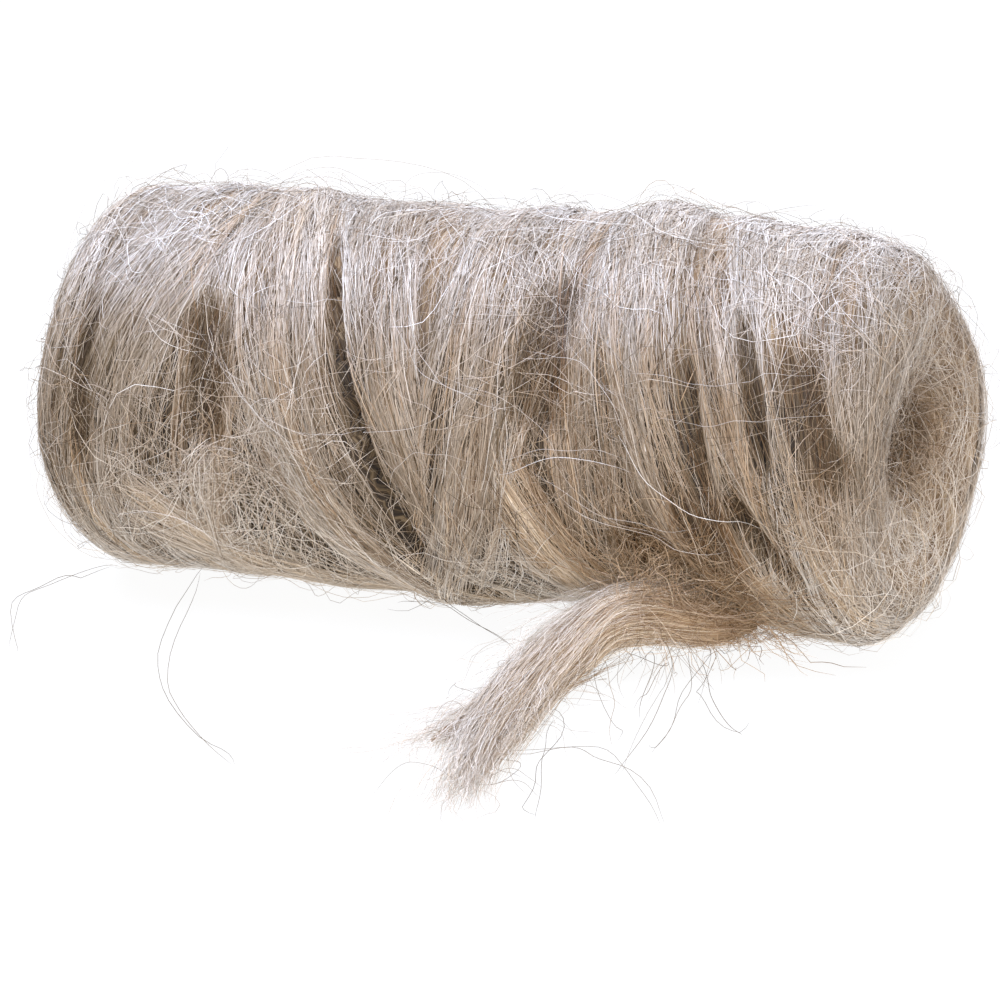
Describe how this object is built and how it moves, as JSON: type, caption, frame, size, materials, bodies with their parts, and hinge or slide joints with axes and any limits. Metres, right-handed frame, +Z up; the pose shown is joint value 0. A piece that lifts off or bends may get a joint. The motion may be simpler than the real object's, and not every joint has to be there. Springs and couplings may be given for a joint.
{
  "type": "roll of plumbing hemp",
  "caption": "Roll of combed plumbing hemp, wound criss-cross in broad strands, with a hollow in each end and a loose frayed end lying in front.",
  "frame": {"origin": "middle of the narrow flat strip that the roll rests on, under its axis, on the surface it stands on", "axes": "+X along the roll towards the end with the open hollow in view, +Y to the back, +Z up; the loose end lies on the surface towards -Y"},
  "size_m": [0.1304, 0.1053, 0.0578],
  "materials": {
    "wound_hemp": "combed bast fibre with a soft silky sheen",
    "loose_hemp": "loose combed bast fibre, warmer and less shaded"
  },
  "bodies": {
    "root": {"wound_roll": "wound_hemp", "loose_end": "loose_hemp"}
  },
  "joints": []
}
